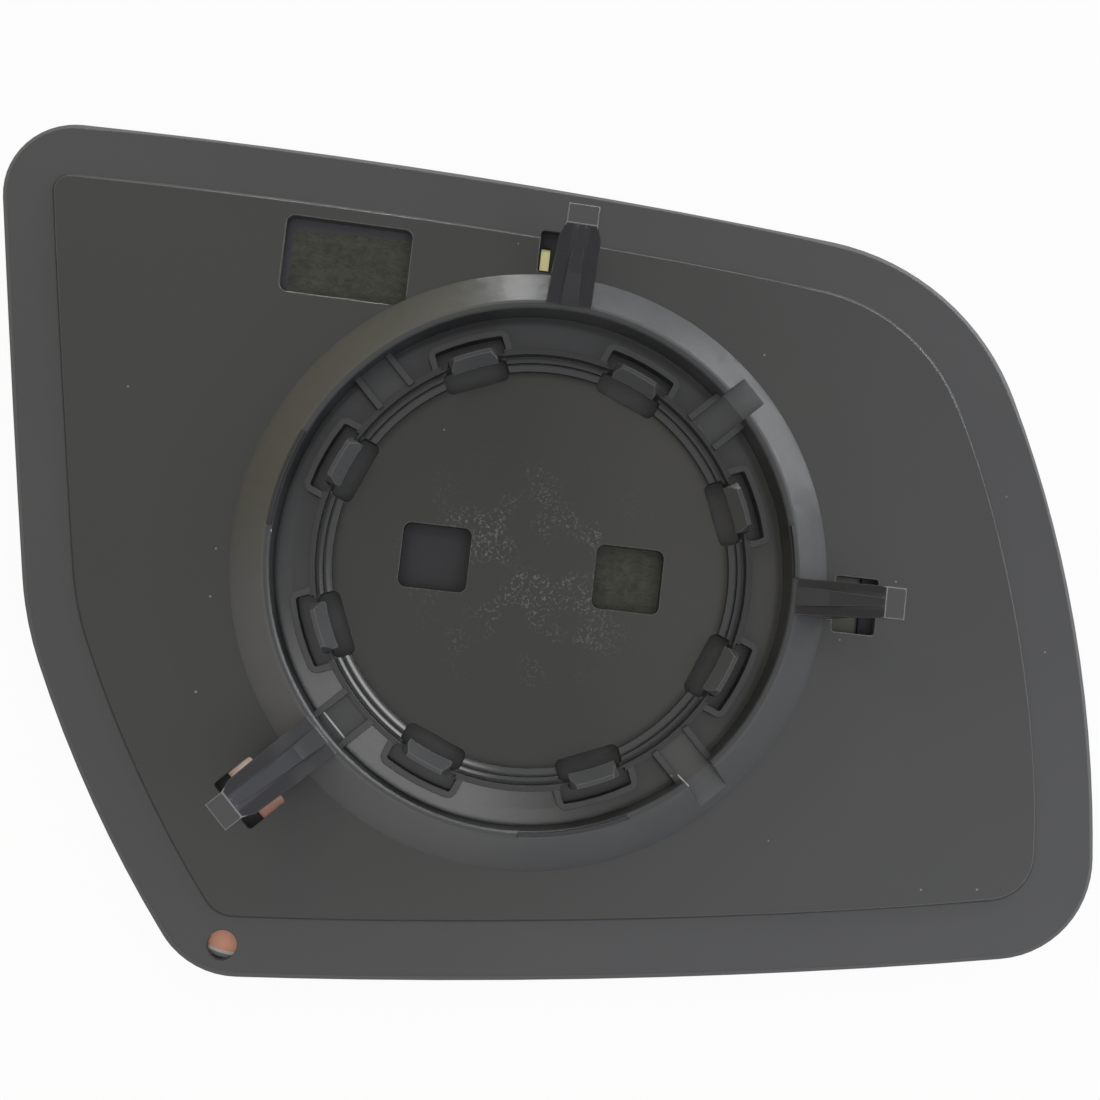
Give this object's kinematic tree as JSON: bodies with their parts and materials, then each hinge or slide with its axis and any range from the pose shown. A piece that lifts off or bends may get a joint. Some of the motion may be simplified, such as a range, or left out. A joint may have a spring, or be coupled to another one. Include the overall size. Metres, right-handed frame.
{
  "type": "car door mirror glass",
  "caption": "Convex car door mirror glass on a black moulded backing plate with a round snap ring, sprung clips and hook arms that hold it on the mirror's adjusting motor.",
  "frame": {"origin": "centre of the flat seat inside the snap ring, on the seat's surface", "axes": "+Z out of the back of the plate towards the adjusting motor, +X along the plate from the ring towards the arm on the right as seen from behind, +Y towards the arm at the top"},
  "size_m": [0.1979, 0.1406, 0.024],
  "materials": {
    "black_plastic": "moulded, satin",
    "foam": "fuzzy, dull",
    "mirror": "polished front, coated back"
  },
  "bodies": {
    "root": {"backing_plate": "black_plastic", "foam_pad": "foam", "mirror_glass": "mirror"}
  },
  "joints": []
}
